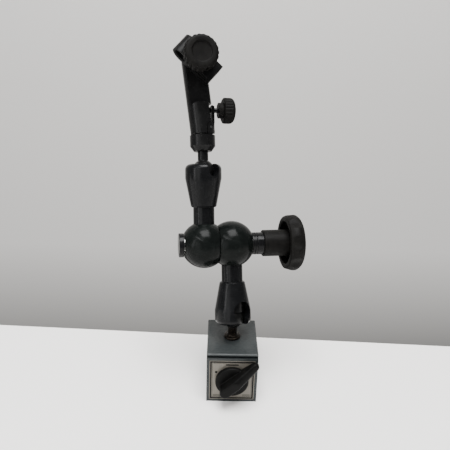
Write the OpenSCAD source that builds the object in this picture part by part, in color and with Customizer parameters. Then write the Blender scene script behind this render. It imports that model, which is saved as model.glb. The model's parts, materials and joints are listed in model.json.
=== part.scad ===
// Articulated magnetic stand for a dial indicator: switchable magnetic base,
// two hollow arms with ball sockets, one central handwheel that locks every
// joint, and a fine-adjust head with a split stem clamp. Millimetres, +Z up,
// -Y is the front, the origin is the centre of the base's underside.

/* [Base] */
// Width of the base, left to right
base_w = 32; // [30:0.5:36]
// Depth of the base, front to back
base_d = 39; // [37:0.5:44]
// Height of the base
base_h = 36; // [35.5:0.5:38]
// Height of the switch's axis above the underside
switch_z = 17; // [16:0.1:19]
// Radius of the round magnetic rotor between the poles
rotor_r = 10.2; // [9:0.1:10.3]
// Thickness of the front and back covers
cover_t = 2; // [1.6:0.1:2.4]

/* [Switch knob] */
// Radius of the knob's round skirt
switch_r = 10.5; // [9.5:0.1:11]
// Turn of the knob's long pointer, counterclockwise from +X
switch_turn = 42; // [30:1:60]
// Reach of the long pointer from the axis
pointer_reach = 21.4; // [18:0.1:22.5]
// Reach of the short tail from the axis
tail_reach = 9.3; // [8:0.1:10]
// Height of the knob's grip fin above the cover
fin_h = 9; // [8:0.1:11]

/* [Ball joints] */
// Radius of both ball studs' balls
ball_r = 7; // [6.9:0.05:7.1]
// Radius of the studs' necks
neck_r = 3.3; // [3:0.05:3.4]
// Height of the lower ball's centre above the base
stud_rise = 14.8; // [13.5:0.1:16]
// Distance from a ball's centre out to its socket's rim
rim_drop = 4.2; // [4:0.05:4.3]
// Radius of the opening in the socket's rim
rim_open_r = 6; // [5.8:0.05:6.1]

/* [Arms] */
// Distance from a ball's centre to the central axis
arm_len = 46.6; // [46:0.1:50]
// Outer radius of the sockets
socket_r = 11.45; // [11:0.05:11.6]
// Length of the sockets, from the rim to the tube
socket_len = 27; // [26:0.1:28]
// Outer radius of the tubes
tube_r = 6.7; // [6.5:0.05:7]
// Radius of the two central balls
knuckle_r = 14.8; // [14.6:0.05:15.2]
// Distance between the central balls' centres
knuckle_gap = 17.5; // [17.2:0.1:18.4]

/* [Pose] */
// Backward lean of the lower arm, in degrees
lower_back = 22.5; // [18:0.1:23]
// Leftward lean of the lower arm, in degrees
lower_left = 2.6; // [0:0.1:4]
// Turn of the central axis about the lower arm, in degrees
axis_yaw = 9.8; // [0:0.1:14]
// Forward bend of the upper arm at the central axis, in degrees
elbow_bend = 3.9; // [-10:0.1:20]
// Backward lean of the head on the upper arm, in degrees
head_back = 3.3; // [0:0.1:12]
// Leftward lean of the head on the upper arm, in degrees
head_left = 0.3; // [-4:0.1:4]
// Turn of the head about its own axis, in degrees
head_yaw = 4.6; // [-30:0.1:40]
// Leftward lean of the tilting arm on the head, in degrees
tilt_left = 6.2; // [6:0.1:8]
// Turn of the stem clamp on the tilting arm, clockwise from the front
clamp_swing = 49; // [0:1:90]

/* [Head] */
// Radius of the head
head_r = 7.95; // [7.7:0.05:8]
// Radius of the tilting arm
tilt_r = 7.7; // [7.5:0.05:7.8]
// Height of the clamp bolt above the upper ball's centre
clamp_z = 66.8; // [64:0.1:70]
// Height of the fine-adjust screw above the upper ball's centre
fine_z = 38; // [37.2:0.1:38.2]
// Radius of the fine-adjust knob
fine_knob_r = 8.1; // [7.5:0.05:8.5]

/* [Stem clamp] */
// Radius of the hole for the indicator's stem
stem_r = 4; // [3:0.05:4.2]
// Length of the clamp block
clamp_len = 28.7; // [27.5:0.1:31]
// Height of the clamp block, along the stem
clamp_h = 12; // [10.5:0.1:14]
// Depth of the clamp block, along the bolt
clamp_d = 11.5; // [11.2:0.1:12.5]
// Radius of the clamp knob
clamp_knob_r = 10.4; // [9.6:0.05:11]

/* [Handwheel] */
// Outer radius of the handwheel's rim
wheel_r = 18.5; // [17:0.1:19]
// Thickness of the handwheel's rim
wheel_t = 10; // [9:0.1:11]
// Number of grip lobes round the rim
wheel_lobes = 8; // [6:1:10]

/* [Hidden] */
$fn = 64;

cut = 0.1;                  // overshoot of a cut past its face
gap = 0.1;                  // gap between pieces that press together
slip = 0.08;                // radial clearance of a sliding fit
snug = 0.02;                // radial clearance between fixed pieces

ball_z = base_h + stud_rise;
lip_h = 1.0;                // overhanging lip above the front cover
cover_gap = 1.8;            // shadow gap under that lip
cover_h = base_h - lip_h - cover_gap;
spacer_w = 4;
rotor_len = base_d - 2 * cover_t - 4;
magnet_h = 8;
flange_t = 1.6;
shaft_r = 3.5;
stud_depth = 5.6;           // threaded end of the stud, in the base
stud_flange_r = 5.35;
stud_flange_t = 1.7;
skirt_t = 2.6;              // thickness of the switch knob's skirt
knob_seat = 2.2;            // depth of the shaft's end in the knob
fin_r = 3.4;
fin_tip_r = 2.5;
fin_tip_h = 4.2;            // height of the fin's lower, pointing end
knob_y = -base_d / 2 - 0.5; // back of the switch knob
screw_inset = 4;

socket_taper = 0.187;       // fall of the socket's radius for each mm
socket_straight = 9;        // rim to the start of the taper
rim_round = 3.5;
socket_end = socket_len - rim_drop;
socket_bore_r = 7.15;
spigot_len = 6;
rod_r = 3;
knuckle_flat = sqrt(knuckle_r * knuckle_r - tube_r * tube_r);
knuckle_face = knuckle_gap / 2 - 0.1;
knuckle_side = 12.65;       // outer flat of a central ball
knuckle_bore_r = 5.5;
lower_notch = 28;           // lower notch, counterclockwise from the front
upper_notch = 30;           // upper notch, counterclockwise from the front
lower_throat = 8.8;
lower_hole_r = 6.5;
lower_hole_z = 4.3;
upper_throat = 7.6;

wedge_r = knuckle_bore_r - slip;
wedge_tip_r = 3.6;
wedge_slope = 30;
wedge_back = 3.2;           // start of the cone, from the ball's centre
// distance of the push rod's round tip from the central axis
rod_tip = (rod_r + gap - wedge_back * sin(wedge_slope))
    / cos(wedge_slope) + wedge_r;
washer_from = 13;
collar_from = 14.2;
hub_from = 20.3;
hub_r = 8.6;
lobe_depth = 1.4;           // depth of the hollows between the rim's lobes
wheel_from = 34.8;
bolt_end = 38;
stack_r = 7.15;
cap_r = 7.6;
cap_out = 16.2;

head_from = 12;
head_chamfer = 3.2;
seam_z = 22.2;
seam_gap = 0.7;
pin_x = 4.4;
pin_z = 26.7;
pin_r = 1;
pillar_x = 5;
pillar_top = 40;
cheek_r = 2.7;
cheek_y = 3.4;
screw_r = 1.5;
arm_face = 0.35;            // tilting arm's flat, right of the pin
// the fine screw's round tip just clears that flat
screw_tip_x = pin_x + (arm_face + screw_r + 0.06
    - (fine_z - pin_z) * sin(tilt_left)) / cos(tilt_left);
flat_y = 4.3;
flat_from = 42.3;
flat_round = 3.6;           // radius of the step's round corner
clamp_bolt_r = 2.5;
// stem hole, left of the clamp bolt, concentric with the block's round end
stem_x = (clamp_len - clamp_d) / 2;
slit_w = 1.2;
clamp_mid = flat_y + gap + clamp_d / 2;
clamp_front = flat_y + gap + clamp_d;
clamp_knob_t = 9.4;
clamp_flutes = 22;

// ---- frames that carry the chain of parts ----

// the knob's back at z = 0, its face towards +Z
module knob_frame() {
    translate([0, knob_y, switch_z]) rotate([90, 0, 0]) children();
}

module lower_arm_frame() {
    translate([0, 0, ball_z]) rotate([-lower_back, -lower_left, 0])
        rotate([0, 0, axis_yaw]) children();
}

module central_frame() {
    lower_arm_frame() translate([0, 0, arm_len]) rotate([0, 90, 0]) children();
}

module upper_arm_frame() {
    lower_arm_frame() translate([-knuckle_gap, 0, arm_len])
        rotate([elbow_bend, 0, 0]) children();
}

// the upper arm's parts are drawn like the lower arm's, ball end at zero
module upper_part_frame() {
    upper_arm_frame() translate([0, 0, arm_len]) rotate([180, 0, 0]) children();
}

module head_frame() {
    upper_arm_frame() translate([0, 0, arm_len])
        rotate([-head_back, -head_left, 0]) rotate([0, 0, head_yaw]) children();
}

module tilt_frame() {
    head_frame() translate([pin_x, 0, pin_z]) rotate([0, -tilt_left, 0])
        translate([-pin_x, 0, -pin_z]) children();
}

module clamp_frame() {
    tilt_frame() translate([0, 0, clamp_z]) rotate([0, clamp_swing, 0]) children();
}

// ---- shared shapes ----

module box(low, high) {
    translate(low) cube(high - low);
}

// a cylinder along Y from y0 to y1
module along_y(r, y0, y1) {
    translate([0, y0, 0]) rotate([-90, 0, 0]) cylinder(r = r, h = y1 - y0);
}

// a cylinder along X from x0 to x1
module along_x(r, x0, x1) {
    translate([x0, 0, 0]) rotate([0, 90, 0]) cylinder(r = r, h = x1 - x0);
}

// a round-wire helical spring standing on z = 0
module coil(r, wire_r, length, turns) {
    sides = 8;
    steps = turns * 16;
    rise = length - 2 * wire_r;
    ring = [for (i = [0 : steps], k = [0 : sides - 1])
        let (a = 360 * turns * i / steps, b = 360 * k / sides,
             reach = r + wire_r * cos(b))
        [reach * cos(a), reach * sin(a),
         wire_r + rise * i / steps + wire_r * sin(b)]];
    walls = [for (i = [0 : steps - 1], k = [0 : sides - 1])
        let (n = (k + 1) % sides)
        [i * sides + k, (i + 1) * sides + k, (i + 1) * sides + n, i * sides + n]];
    start = [[for (k = [0 : sides - 1]) k]];
    finish = [[for (k = [sides - 1 : -1 : 0]) steps * sides + k]];
    polyhedron(points = ring, faces = concat(walls, start, finish));
}

// ---- base ----

// the painted outline of the whole base block, without its covers
module base_block() {
    difference() {
        box([-base_w / 2, -base_d / 2, 0], [base_w / 2, base_d / 2, base_h]);
        box([-base_w, -base_d, -cut],
            [base_w, -base_d / 2 + cover_t, base_h - lip_h]);
        box([-base_w, base_d / 2 - cover_t, -cut],
            [base_w, base_d, base_h - lip_h]);
        translate([0, 0, switch_z]) along_y(rotor_r + 0.25, -base_d, base_d);
        translate([0, 0, base_h - 8]) cylinder(r = neck_r + slip, h = 10);
        for (side = [-1, 1], y = [-1, 1])
            translate([side * (base_w / 2 - screw_inset), 0, 0])
                for (z = [screw_inset, cover_h - screw_inset])
                    translate([0, y * (base_d / 2 - 6) - 6, z])
                        along_y(1.25, 0, 12);
        translate([0, 0, base_h]) top_edge_cuts();
    }
}

// a round worn edge along the front and small chamfers along the sides
module top_edge_cuts() {
    edge = 1.4;
    difference() {
        box([-base_w, -base_d / 2 - cut, -edge], [base_w, -base_d / 2 + edge, cut]);
        translate([0, -base_d / 2 + edge, -edge]) along_x(edge, -base_w, base_w);
    }
    for (side = [-1, 1])
        translate([side * base_w / 2, 0, 0]) rotate([0, 45, 0])
            box([-0.5, -base_d, -0.5], [0.5, base_d, 0.5]);
    translate([0, base_d / 2, 0]) rotate([45, 0, 0])
        box([-base_w, -0.5, -0.5], [base_w, 0.5, 0.5]);
}

module left_pole() {
    color("slategray") intersection() {
        base_block();
        box([-base_w, -base_d, -1], [-spacer_w / 2, base_d, base_h + 1]);
    }
}

module right_pole() {
    color("slategray") intersection() {
        base_block();
        box([spacer_w / 2, -base_d, -1], [base_w, base_d, base_h + 1]);
    }
}

module pole_spacer() {
    color("goldenrod") intersection() {
        base_block();
        box([-spacer_w / 2, -base_d, -1], [spacer_w / 2, base_d, base_h + 1]);
    }
}

module cover_blank() {
    difference() {
        box([-base_w / 2, 0, 0], [base_w / 2, cover_t, cover_h]);
        translate([0, 0, switch_z]) along_y(shaft_r + slip, -cut, cover_t + cut);
        for (side = [-1, 1], z = [screw_inset, cover_h - screw_inset])
            translate([side * (base_w / 2 - screw_inset), 0, z]) {
                along_y(1.3, -cut, cover_t + cut);
                along_y(2.3, cover_t - 1.1, cover_t + cut);
            }
    }
}

module front_cover() {
    color("slategray") translate([0, -base_d / 2 + cover_t, 0]) mirror([0, 1, 0])
        difference() {
            cover_blank();
            box([-base_w / 2 + 1.7, cover_t - 0.4, 1.7],
                [base_w / 2 - 1.7, cover_t + cut, cover_h - 1.7]);
        }
}

module back_cover() {
    color("slategray") translate([0, base_d / 2 - cover_t, 0]) cover_blank();
}

// four countersunk screws in each cover, cross recesses in their heads
module cover_screws() {
    color("dimgray") for (way = [-1, 1], side = [-1, 1])
        for (z = [screw_inset, cover_h - screw_inset])
            translate([side * (base_w / 2 - screw_inset), 0, z])
                rotate([0, 0, way > 0 ? 0 : 180])
                    translate([0, base_d / 2 - cover_t, 0]) cover_screw();
}

module cover_screw() {
    difference() {
        union() {
            along_y(1.2, -4, cover_t - 1);
            along_y(2.1, cover_t - 1.05, cover_t - 0.45);
        }
        for (turn = [0, 90])
            translate([0, cover_t - 0.75, 0]) rotate([0, turn, 0])
                box([-1.3, 0, -0.25], [1.3, 1, 0.25]);
    }
}

// the thin label in the front cover's shallow pocket
module label_plate() {
    color("silver") difference() {
        box([-base_w / 2 + 1.8, -base_d / 2, 1.8],
            [base_w / 2 - 1.8, -base_d / 2 + 0.38, cover_h - 1.8]);
        translate([0, 0, switch_z])
            along_y(shaft_r + 0.3, -base_d, 0);
    }
}

// the rotor is a slab magnet between two soft iron shoes
module rotor_blank() {
    translate([0, 0, switch_z]) along_y(rotor_r, -rotor_len / 2, rotor_len / 2);
}

module rotor_magnet() {
    color("dimgray") intersection() {
        rotor_blank();
        box([-rotor_r, -base_d, switch_z - magnet_h / 2],
            [rotor_r, base_d, switch_z + magnet_h / 2]);
    }
}

module rotor_shoes() {
    color("gray") difference() {
        rotor_blank();
        box([-rotor_r - 1, -base_d, switch_z - magnet_h / 2],
            [rotor_r + 1, base_d, switch_z + magnet_h / 2]);
    }
}

module switch_shaft() {
    color("gainsboro") difference() {
        translate([0, 0, switch_z]) {
            along_y(shaft_r, knob_y - knob_seat, -rotor_len / 2);
            along_y(rotor_r - 2, -rotor_len / 2 - flange_t, -rotor_len / 2);
        }
        knob_frame() rotate([0, 0, switch_turn]) knob_pin_shape(0.75 + snug);
    }
}

module rear_stub() {
    color("gainsboro") translate([0, 0, switch_z]) {
        along_y(shaft_r, rotor_len / 2, base_d / 2 - 0.5);
        along_y(rotor_r - 2, rotor_len / 2, rotor_len / 2 + flange_t);
    }
}

module switch_knob() {
    color([0.08, 0.08, 0.08]) knob_frame() difference() {
        union() {
            cylinder(r = switch_r, h = skirt_t);
            rotate([0, 0, switch_turn]) knob_ridge();
        }
        translate([0, 0, -cut]) cylinder(r = shaft_r + snug, h = knob_seat + cut);
        rotate([0, 0, switch_turn]) knob_pin_shape(0.75 + snug);
    }
}

// the fin across the knob: long pointer on +X, short tail on -X
module knob_ridge() {
    hull() {
        for (x = [fin_r - tail_reach, 3])
            translate([x, 0, 0]) cylinder(r = fin_r, h = fin_h, $fn = 32);
        translate([pointer_reach - fin_tip_r, 0, 1])
            cylinder(r = fin_tip_r, h = fin_tip_h - 1, $fn = 32);
    }
}

// the pin runs square to the fin, through the skirt and the shaft's end
module knob_pin_shape(r) {
    translate([0, 0, 1.15]) along_y(r, -7.5, 7.5);
}

module knob_pin() {
    color("silver") knob_frame() rotate([0, 0, switch_turn]) knob_pin_shape(0.75);
}

// ---- ball studs ----

module lower_ball_stud() {
    color("peru") translate([0, 0, ball_z]) {
        sphere(r = ball_r);
        mirror([0, 0, 1]) {
            cylinder(r = neck_r, h = stud_rise + stud_depth);
            translate([0, 0, stud_rise - stud_flange_t])
                cylinder(r = stud_flange_r, h = stud_flange_t - gap / 2);
        }
    }
}

module upper_ball_stud() {
    color([0.1, 0.1, 0.1]) head_frame() {
        sphere(r = ball_r);
        cylinder(r = neck_r, h = head_from - gap / 2);
        cylinder(r = 2.5, h = head_from + 8);
    }
}

// ---- arms ----

// outline of a socket: round rim, straight wall, taper and a small chamfer
function socket_outline() =
    let (rim = -rim_drop, inner = 3,
         end_r = socket_r - socket_taper * (socket_len - socket_straight),
         corner = [for (a = [-90 : 10 : 0])
             [socket_r - rim_round + rim_round * cos(a),
              rim + rim_round + rim_round * sin(a)]])
    concat([[inner, rim]], corner,
           [[socket_r, rim + socket_straight], [end_r, socket_end - 0.6],
            [end_r - 0.6, socket_end], [inner, socket_end]]);

// a socket with its notch towards +Y turned by notch_angle
module socket(notch_angle, throat, hole_r, hole_z) {
    difference() {
        rotate_extrude() polygon(socket_outline());
        sphere(r = ball_r + gap);
        cylinder(r = socket_bore_r, h = socket_len);
        translate([0, 0, -rim_drop - cut]) cylinder(r = rim_open_r, h = rim_drop);
        rotate([0, 0, notch_angle]) {
            box([-throat / 2, 0, -rim_drop - cut], [throat / 2, 20, 0]);
            along_y(throat / 2, 0, 20);
            translate([0, 0, hole_z]) along_y(hole_r, 0, 20);
        }
    }
}

module tube() {
    difference() {
        union() {
            translate([0, 0, socket_end - spigot_len])
                cylinder(r = socket_bore_r - snug, h = spigot_len);
            translate([0, 0, socket_end])
                cylinder(r = tube_r, h = arm_len - knuckle_flat - socket_end);
            translate([0, 0, socket_end])
                cylinder(r = 4.5, h = arm_len - knuckle_flat - socket_end + 4);
        }
        cylinder(r = rod_r + slip, h = arm_len);
    }
}

// a central ball: inner_side is +1 where the other ball is towards +X
module knuckle(inner_side) {
    inner = inner_side > 0 ? knuckle_face : knuckle_side;
    outer = inner_side > 0 ? knuckle_side : knuckle_face;
    translate([0, 0, arm_len]) difference() {
        intersection() {
            sphere(r = knuckle_r, $fn = 96);
            box([-outer, -knuckle_r, -knuckle_flat], [inner, knuckle_r, knuckle_r]);
        }
        along_x(knuckle_bore_r, -knuckle_r, knuckle_r);
        translate([0, 0, -knuckle_r]) cylinder(r = 4.5 + snug,
            h = knuckle_r - knuckle_flat + 4 + snug);
        translate([0, 0, -knuckle_r]) cylinder(r = rod_r + slip, h = knuckle_r);
    }
}

// a push rod with a round tip that rests on a wedge's cone
module push_rod() {
    tip = arm_len - rod_tip;
    translate([0, 0, tip]) sphere(r = rod_r);
    translate([0, 0, 8.5]) cylinder(r = rod_r, h = tip - 8.5);
}

module ball_seat() {
    difference() {
        translate([0, 0, 3.6]) cylinder(r = socket_bore_r - slip, h = 7);
        sphere(r = ball_r + gap / 2);
        translate([0, 0, 8.5]) cylinder(r = rod_r + snug, h = 4);
    }
}

module lower_socket() {
    color([0.13, 0.13, 0.13]) lower_arm_frame()
        socket(180 + lower_notch, lower_throat, lower_hole_r, lower_hole_z);
}

module lower_tube() {
    color([0.1, 0.1, 0.1]) lower_arm_frame() tube();
}

module lower_knuckle() {
    color([0.08, 0.1, 0.09]) lower_arm_frame() knuckle(-1);
}

module lower_push_rod() {
    color("silver") lower_arm_frame() push_rod();
}

module lower_ball_seat() {
    color([0.2, 0.2, 0.2]) lower_arm_frame() ball_seat();
}

module upper_socket() {
    color([0.13, 0.13, 0.13]) upper_part_frame()
        socket(-upper_notch, upper_throat, upper_throat / 2, 0);
}

module upper_tube() {
    color([0.1, 0.1, 0.1]) upper_part_frame() tube();
}

module upper_knuckle() {
    color([0.08, 0.1, 0.09]) upper_part_frame() knuckle(1);
}

module upper_push_rod() {
    color("silver") upper_part_frame() push_rod();
}

module upper_ball_seat() {
    color([0.2, 0.2, 0.2]) upper_part_frame() ball_seat();
}

// ---- central lock ----

// a wedge sleeve on the draw bolt: it narrows towards +Z past the ball's centre
module wedge(outer) {
    cone = (wedge_r - wedge_tip_r) / tan(wedge_slope);
    bore = rod_r + slip;
    rotate_extrude() polygon([[bore, -outer], [wedge_r, -outer],
        [wedge_r, -wedge_back], [wedge_tip_r, cone - wedge_back],
        [wedge_tip_r, 3], [bore, 3]]);
}

module draw_bolt() {
    color([0.12, 0.12, 0.12]) central_frame() {
        translate([0, 0, -knuckle_gap - cap_out])
            cylinder(r = cap_r, h = cap_out - knuckle_side - 0.3);
        translate([0, 0, -knuckle_gap - cap_out])
            cylinder(r = rod_r, h = knuckle_gap + cap_out + bolt_end);
    }
}

module left_wedge() {
    color("silver") central_frame() translate([0, 0, -knuckle_gap])
        wedge(knuckle_side + 0.3);
}

module right_wedge() {
    color("silver") central_frame() mirror([0, 0, 1]) wedge(washer_from);
}

module knuckle_spring() {
    reach = 3 + gap;
    color("silver") central_frame() translate([0, 0, reach - knuckle_gap])
        coil(4, 0.45, knuckle_gap - 2 * reach, 5);
}

module thrust_washer() {
    color("dimgray") central_frame() translate([0, 0, washer_from]) difference() {
        cylinder(r = stack_r, h = collar_from - washer_from);
        translate([0, 0, -cut]) cylinder(r = rod_r + slip, h = 4);
    }
}

module thrust_collar() {
    length = hub_from - collar_from - gap / 2;
    color([0.12, 0.12, 0.12]) central_frame() translate([0, 0, collar_from])
        difference() {
            cylinder(r = stack_r, h = length);
            translate([0, 0, -cut]) cylinder(r = rod_r + slip, h = length + 1);
            for (z = [0, 1.6])
                translate([0, 0, z]) difference() {
                    translate([0, 0, -cut]) cylinder(r = 10, h = 0.5 + cut);
                    translate([0, 0, -1]) cylinder(r = stack_r - 0.6, h = 3);
                }
        }
}

// outline of the handwheel: hub, deep ring behind the rim, and a full round rim
function wheel_outline() =
    let (face = wheel_from + wheel_t, round_r = 4.6, web = 3.5,
         outer = [for (a = [90 : -15 : -90])
             [wheel_r - round_r + round_r * cos(a),
              a > 0 ? face - round_r + round_r * sin(a)
                    : wheel_from + round_r + round_r * sin(a)]])
    concat([[0, hub_from], [hub_r - 0.4, hub_from], [hub_r, hub_from + 0.4],
            [hub_r, face - web], [wheel_r - 4.5, face - web],
            [wheel_r - 4.5, wheel_from + 0.6]],
           [for (i = [len(outer) - 1 : -1 : 0]) outer[i]],
           [[wheel_r - 8, face], [wheel_r - 9, face - 0.6], [0, face - 0.6]]);

module handwheel() {
    scallop_r = 9;
    color([0.1, 0.1, 0.1]) central_frame() difference() {
        rotate_extrude() polygon(wheel_outline());
        for (i = [0 : wheel_lobes - 1])
            rotate([0, 0, (i + 0.5) * 360 / wheel_lobes])
                translate([wheel_r + scallop_r - lobe_depth, 0, wheel_from - 1])
                    cylinder(r = scallop_r, h = wheel_t + 2);
        translate([0, 0, hub_from - cut]) cylinder(r = 5.2, h = 12);
        translate([0, 0, hub_from]) cylinder(r = rod_r + 0.4, h = bolt_end + 1 - hub_from);
    }
}

module handwheel_nut() {
    color("goldenrod") central_frame() translate([0, 0, hub_from + 0.2])
        difference() {
            cylinder(r = 5.2 - snug, h = 11.4);
            translate([0, 0, -1]) cylinder(r = rod_r + 0.05, h = 20);
            for (z = [3, 6])
                translate([0, 0, z]) difference() {
                    cylinder(r = 8, h = 1.2);
                    translate([0, 0, -1]) cylinder(r = 4.6, h = 4);
                }
        }
}

// ---- fine-adjust head ----

// the two cheeks that carry the pivot pin, grown by room on every side
module cheeks(room) {
    for (side = [-1, 1])
        mirror([0, side < 0 ? 1 : 0, 0]) translate([0, cheek_y - room, 0]) {
            translate([pin_x, 0, pin_z]) along_y(cheek_r + room, 0, 10);
            box([pin_x - cheek_r - room, 0, seam_z - 2],
                [head_r + 1, 10, pin_z]);
        }
}

module head_body() {
    base_top = seam_z - seam_gap / 2;
    color([0.12, 0.12, 0.12]) head_frame() difference() {
        union() {
            translate([0, 0, head_from])
                cylinder(r1 = head_r - 2.35, r2 = head_r, h = head_chamfer);
            translate([0, 0, head_from + head_chamfer])
                cylinder(r = head_r, h = base_top - head_from - head_chamfer);
            intersection() {
                translate([0, 0, base_top - 1]) cylinder(r = head_r, h = 30);
                union() {
                    box([pillar_x, -head_r, base_top - 1],
                        [head_r + 1, head_r, pillar_top]);
                    cheeks(0);
                }
            }
        }
        box([0, -cheek_y, base_top], [head_r + 1, cheek_y, pin_z + cheek_r + 0.5]);
        // the seam's groove runs on round the pillar
        translate([0, 0, base_top]) difference() {
            cylinder(r = head_r + 1, h = seam_gap);
            cylinder(r = head_r - 1.2, h = seam_gap);
        }
        translate([0, 0, head_from - cut]) cylinder(r = 2.5 + 0.05, h = 8.4);
        translate([pin_x, 0, pin_z]) along_y(pin_r + snug, -10, 10);
        translate([0, 0, fine_z]) along_x(screw_r + 0.05, 0, 12);
        translate([-4.2, 0, 18.4]) cylinder(r = 1.7, h = 10);
    }
}

module pivot_pin() {
    reach = 5.6;
    color("white") head_frame() translate([pin_x, 0, pin_z])
        along_y(pin_r, -reach, reach);
}

module fine_spring() {
    color("silver") head_frame() translate([-4.2, 0, 18.5]) coil(1.2, 0.25, 9, 7);
}

module fine_screw() {
    color("dimgray") head_frame() translate([0, 0, fine_z]) {
        translate([screw_tip_x, 0, 0]) sphere(r = screw_r);
        along_x(screw_r, screw_tip_x, 16);
    }
}

module fine_knob() {
    collar_x = 10.4;
    grip_x = 13.2;
    end_x = 21;
    flutes = 24;
    color([0.1, 0.1, 0.1]) head_frame() translate([0, 0, fine_z]) difference() {
        union() {
            along_x(4.9, collar_x, grip_x + 0.1);
            translate([grip_x, 0, 0]) rotate([0, 90, 0]) rotate_extrude()
                polygon([[0, 0], [fine_knob_r - 0.8, 0], [fine_knob_r, 0.8],
                    [fine_knob_r, end_x - grip_x - 2.4],
                    [fine_knob_r - 1, end_x - grip_x - 1],
                    [fine_knob_r - 3.4, end_x - grip_x], [0, end_x - grip_x]]);
        }
        along_x(screw_r + snug, 0, 16.2);
        for (i = [0 : flutes - 1])
            rotate([i * 360 / flutes, 0, 0]) translate([0, 0, fine_knob_r + 0.35])
                along_x(0.7, grip_x - cut, end_x + 1);
    }
}

// the leaning arm: round rod, milled flat in front, round top at the bolt
module tilt_arm_blank() {
    difference() {
        union() {
            translate([0, 0, seam_z - 3])
                cylinder(r = tilt_r, h = clamp_z - seam_z + 3);
            intersection() {
                translate([0, 0, clamp_z]) along_y(tilt_r, -tilt_r, tilt_r);
                translate([0, 0, clamp_z - 1]) cylinder(r = tilt_r, h = 20);
            }
        }
        // milled front flat with a round-cornered step
        box([-10, -10, flat_from], [10, -flat_y, clamp_z + 20]);
        difference() {
            box([-10, -10, flat_from - flat_round], [10, -flat_y, flat_from + cut]);
            translate([0, -flat_y - flat_round, flat_from - flat_round])
                along_x(flat_round, -11, 11);
        }
        // flat towards the pillar, clear of the tongue round the pin
        box([pin_x + arm_face, -10, pin_z], [10, 10, pillar_top + 1.5]);
        translate([0, 0, clamp_z]) {
            along_y(clamp_bolt_r + snug, -10, 10);
            along_y(4.6, tilt_r - 2.35, 10);
        }
    }
}

module tilt_arm() {
    color([0.1, 0.1, 0.1]) difference() {
        union() {
            tilt_frame() tilt_arm_blank();
            head_frame() translate([pin_x, 0, pin_z])
                along_y(cheek_r - 0.3, 0.2 - cheek_y, cheek_y - 0.2);
        }
        head_frame() {
            box([-12, -12, 0], [12, 12, seam_z + seam_gap / 2]);
            cheeks(0.25);
            box([pin_x, -12, 0], [12, cheek_y, pin_z - cheek_r]);
            translate([pin_x, 0, pin_z]) along_y(pin_r + 0.06, -12, 12);
            translate([-4.2, 0, 18.4]) cylinder(r = 2.2, h = 10.6);
        }
    }
}

// ---- stem clamp ----

module clamp_bolt() {
    color("dimgray") tilt_frame() translate([0, 0, clamp_z]) {
        along_y(clamp_bolt_r, -clamp_front - clamp_knob_t + 1.5, tilt_r - 1);
        along_y(4.5, tilt_r - 2.3, tilt_r - 0.35);
    }
}

module clamp_block() {
    half = clamp_len / 2;
    color([0.13, 0.13, 0.13]) clamp_frame() difference() {
        union() {
            box([-stem_x, -clamp_front, -clamp_h / 2],
                [half, -flat_y - gap, clamp_h / 2]);
            translate([-stem_x, -clamp_mid, -clamp_h / 2])
                cylinder(r = clamp_d / 2, h = clamp_h);
        }
        translate([-stem_x, -clamp_mid, -clamp_h]) cylinder(r = stem_r, h = 2 * clamp_h);
        for (way = [0, 1])
            mirror([0, 0, way]) translate([-stem_x, -clamp_mid, clamp_h / 2 - 0.6])
                cylinder(r1 = stem_r, r2 = stem_r + 0.7, h = 0.7);
        box([-stem_x, -clamp_mid - slit_w / 2, -clamp_h],
            [half + 1, -clamp_mid + slit_w / 2, clamp_h]);
        along_y(clamp_bolt_r + slip, -30, 0);
    }
}

module clamp_washer() {
    color("dimgray") tilt_frame() translate([0, 0, clamp_z]) difference() {
        along_y(5.4, -clamp_front - 0.9, -clamp_front - gap / 2);
        along_y(clamp_bolt_r + snug, -40, 0);
    }
}

module clamp_knob() {
    back = clamp_front + 1;
    color([0.1, 0.1, 0.1]) tilt_frame() translate([0, 0, clamp_z]) difference() {
        translate([0, -back, 0]) rotate([90, 0, 0]) rotate_extrude()
            polygon([[0, 0], [clamp_knob_r - 1.6, 0], [clamp_knob_r - 0.6, 1.6],
                [clamp_knob_r, 2.4], [clamp_knob_r, clamp_knob_t - 1.6],
                [clamp_knob_r - 0.8, clamp_knob_t - 0.4],
                [clamp_knob_r - 1.6, clamp_knob_t],
                [clamp_knob_r - 2.6, clamp_knob_t],
                [clamp_knob_r - 3, clamp_knob_t - 0.9], [0, clamp_knob_t - 0.9]]);
        for (i = [0 : clamp_flutes - 1])
            rotate([0, i * 360 / clamp_flutes, 0]) translate([clamp_knob_r + 0.6, 0, 0])
                along_y(1.1, -back - clamp_knob_t - 1, -back + 1);
        along_y(4, -back - 5, 1 - back);
        along_y(clamp_bolt_r + 0.2, -back - clamp_knob_t + 1.6, 0);
    }
}

module clamp_knob_nut() {
    back = clamp_front + 1.1;
    color("goldenrod") tilt_frame() translate([0, 0, clamp_z]) difference() {
        along_y(4 - snug, -back - 4.8, -back);
        along_y(clamp_bolt_r + 0.05, -40, 0);
    }
}

left_pole();
right_pole();
pole_spacer();
front_cover();
back_cover();
cover_screws();
label_plate();
rotor_magnet();
rotor_shoes();
switch_shaft();
rear_stub();
switch_knob();
knob_pin();
lower_ball_stud();
lower_socket();
lower_tube();
lower_knuckle();
lower_push_rod();
lower_ball_seat();
upper_socket();
upper_tube();
upper_knuckle();
upper_push_rod();
upper_ball_seat();
draw_bolt();
left_wedge();
right_wedge();
knuckle_spring();
thrust_washer();
thrust_collar();
handwheel();
handwheel_nut();
upper_ball_stud();
head_body();
pivot_pin();
fine_spring();
fine_screw();
fine_knob();
tilt_arm();
clamp_bolt();
clamp_block();
clamp_washer();
clamp_knob();
clamp_knob_nut();
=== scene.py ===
"""Looks of the articulated magnetic stand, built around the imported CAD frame. Metres, +Z up."""
import json
import math

import bmesh
import bpy
from mathutils import Matrix, Vector


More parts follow.
